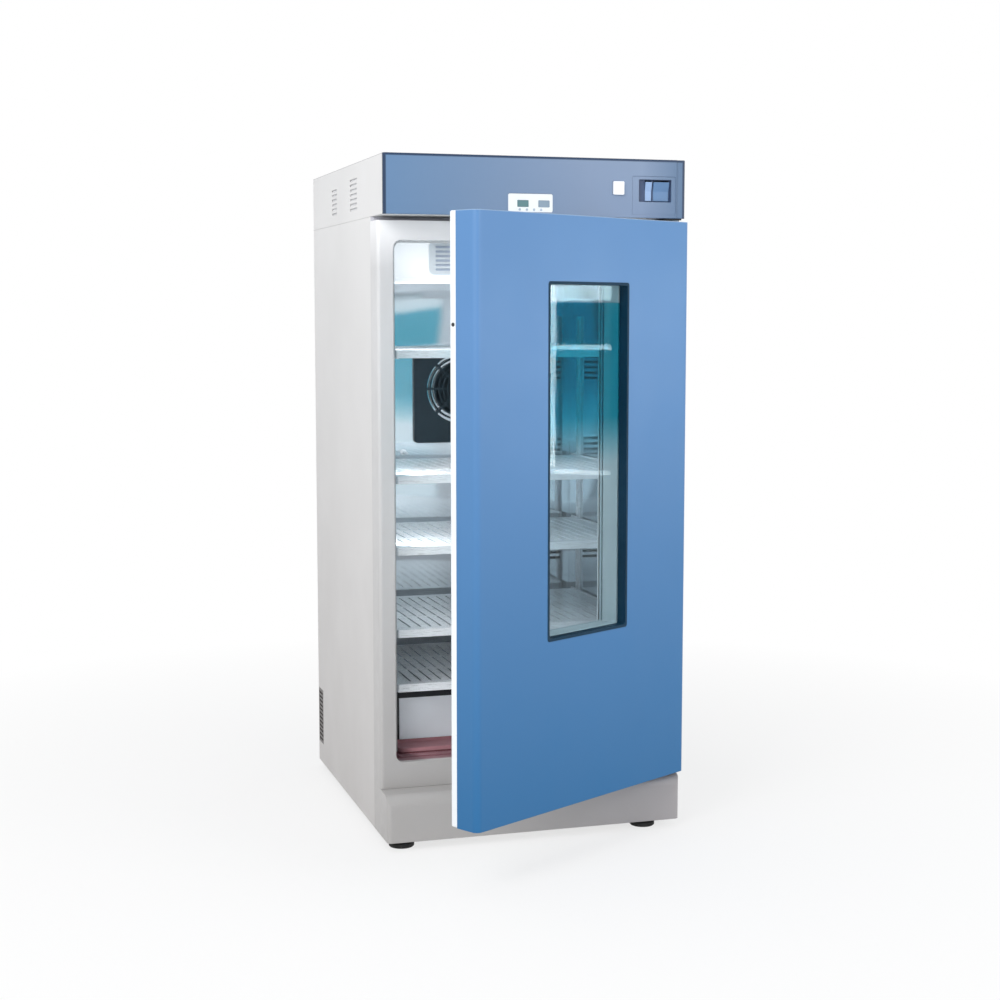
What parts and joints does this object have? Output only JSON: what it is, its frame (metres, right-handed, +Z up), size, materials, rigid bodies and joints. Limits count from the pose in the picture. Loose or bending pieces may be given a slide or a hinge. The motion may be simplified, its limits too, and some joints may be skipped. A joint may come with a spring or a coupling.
{
  "type": "laboratory incubator",
  "caption": "Floor-standing laboratory incubator with a control header, a windowed hinged door, sliding shelves, air circulation, cooling and levelling feet.",
  "frame": {"origin": "On the floor, under the middle of the cabinet's footprint, without the door.", "axes": "+Z up. The front with the door faces -Y, so +X is to the right seen from the front. The door stands open by 30 degrees."},
  "size_m": [0.6964, 1.1318, 1.52],
  "materials": {
    "casing_white": "satin off-white powder coat",
    "header_blue": "satin blue paint",
    "door_blue": "satin blue paint",
    "frame_grey": "fine-grained light grey moulding",
    "inner_white": "smooth white moulding",
    "stainless": "polished stainless steel",
    "step_steel": "satin grey-blue",
    "bare_aluminium": "mill finish",
    "black_paint": "satin black",
    "black_plastic": "matt black",
    "dark_guard": "matt dark grey",
    "grey_plastic": "matt grey",
    "seal_rubber": "soft white magnetic gasket",
    "foot_rubber": "matt black rubber",
    "navy_plastic": "gloss dark blue",
    "rocker_blue": "gloss blue",
    "rocker_pale": "gloss pale blue",
    "button_white": "gloss white",
    "readout_lens": "gloss green lens",
    "pane_glass": "clear glass with a faint teal tint",
    "lamp_white": "opal white",
    "tray_brown": "matt red-brown",
    "copper_pipe": "bright copper",
    "foam": "rigid insulating foam",
    "circuit_green": "solder mask green",
    "dark_metal": "dull dark metal"
  },
  "bodies": {
    "cabinet": {"base_pan": "casing_white", "base_cover": "frame_grey", "left_side_panel": "casing_white", "right_side_panel": "casing_white", "rear_panel": "casing_white", "machine_grille": "casing_white", "header_casing": "casing_white", "header_fascia": "header_blue", "header_strip": "black_plastic", "front_frame": "frame_grey", "liner_wrap": "stainless", "liner_floor": "stainless", "liner_ceiling": "stainless", "insulation": "foam", "top_housing": "inner_white", "air_outlet_grille": "grey_plastic", "lamp_tube": "lamp_white", "duct_panel": "stainless", "fan_guard": "dark_guard", "evaporator": "bare_aluminium", "heater_element": "dark_metal", "temperature_probe": "stainless", "fan_motor": "dark_metal", "shelf_uprights": "stainless", "shelf_ledges": "stainless", "step_cover": "step_steel", "condensate_tray": "tray_brown", "compressor": "black_paint", "condenser": "dark_metal", "condenser_motor": "dark_metal", "refrigerant_pipes": "copper_pipe", "display_panel": "inner_white", "display_windows": "readout_lens", "switch_plate": "navy_plastic", "hinge_brackets": "black_paint", "cable_gland": "black_plastic", "casing_screws": "stainless", "control_board": "circuit_green"},
    "door": {"door_shell": "door_blue", "door_insulation": "foam", "door_inner_panel": "inner_white", "door_gasket": "seal_rubber", "window_frame": "inner_white", "window_panes": "pane_glass", "hinge_bushes": "grey_plastic", "door_contact": "black_plastic"},
    "shelf_1": {"shelf_1": "stainless"},
    "shelf_2": {"shelf_2": "stainless"},
    "shelf_3": {"shelf_3": "stainless"},
    "shelf_4": {"shelf_4": "stainless"},
    "shelf_5": {"shelf_5": "stainless"},
    "circulation_wheel": {"circulation_wheel": "dark_guard"},
    "condenser_fan": {"condenser_fan": "dark_guard"},
    "start_button": {"start_button": "button_white"},
    "mains_rocker": {"mains_rocker": "rocker_blue"},
    "lamp_rocker": {"lamp_rocker": "rocker_pale"},
    "front_left_foot": {"front_left_foot": "foot_rubber"},
    "front_right_foot": {"front_right_foot": "foot_rubber"},
    "rear_left_foot": {"rear_left_foot": "foot_rubber"},
    "rear_right_foot": {"rear_right_foot": "foot_rubber"}
  },
  "joints": [
    {"name": "door_hinge", "type": "hinge", "parent": "cabinet", "child": "door", "pos_m": [0.326, -0.379, 0.76], "axis": [0, 0, 1], "range_deg": [-30, 80]},
    {"name": "shelf_1_slide", "type": "slide", "parent": "cabinet", "child": "shelf_1", "axis": [0, -1, 0], "range_m": [0, 0.04]},
    {"name": "shelf_2_slide", "type": "slide", "parent": "cabinet", "child": "shelf_2", "axis": [0, -1, 0], "range_m": [0, 0.04]},
    {"name": "shelf_3_slide", "type": "slide", "parent": "cabinet", "child": "shelf_3", "axis": [0, -1, 0], "range_m": [0, 0.04]},
    {"name": "shelf_4_slide", "type": "slide", "parent": "cabinet", "child": "shelf_4", "axis": [0, -1, 0], "range_m": [0, 0.04]},
    {"name": "shelf_5_slide", "type": "slide", "parent": "cabinet", "child": "shelf_5", "axis": [0, -1, 0], "range_m": [0, 0.04]},
    {"name": "circulation_wheel_spin", "type": "hinge", "parent": "cabinet", "child": "circulation_wheel", "pos_m": [0, 0.28, 0.992], "axis": [0, 1, 0], "continuous": true},
    {"name": "condenser_fan_spin", "type": "hinge", "parent": "cabinet", "child": "condenser_fan", "pos_m": [0.185, 0.233, 0.128], "axis": [0, 1, 0], "continuous": true},
    {"name": "start_button_press", "type": "slide", "parent": "cabinet", "child": "start_button", "axis": [0, 1, 0], "range_m": [0, 0.003], "stiffness_N_per_m": 400, "springref_m": -0.002},
    {"name": "mains_rocker_tilt", "type": "hinge", "parent": "cabinet", "child": "mains_rocker", "pos_m": [0.288, -0.383, 1.4515], "axis": [1, 0, 0], "range_deg": [-16, 0]},
    {"name": "lamp_rocker_tilt", "type": "hinge", "parent": "cabinet", "child": "lamp_rocker", "pos_m": [0.258, -0.383, 1.4515], "axis": [1, 0, 0], "range_deg": [-16, 0]},
    {"name": "front_left_foot_screw", "type": "slide", "parent": "cabinet", "child": "front_left_foot", "axis": [0, 0, -1], "range_m": [0, 0.012]},
    {"name": "front_right_foot_screw", "type": "slide", "parent": "cabinet", "child": "front_right_foot", "axis": [0, 0, -1], "range_m": [0, 0.012]},
    {"name": "rear_left_foot_screw", "type": "slide", "parent": "cabinet", "child": "rear_left_foot", "axis": [0, 0, -1], "range_m": [0, 0.012]},
    {"name": "rear_right_foot_screw", "type": "slide", "parent": "cabinet", "child": "rear_right_foot", "axis": [0, 0, -1], "range_m": [0, 0.012]}
  ]
}
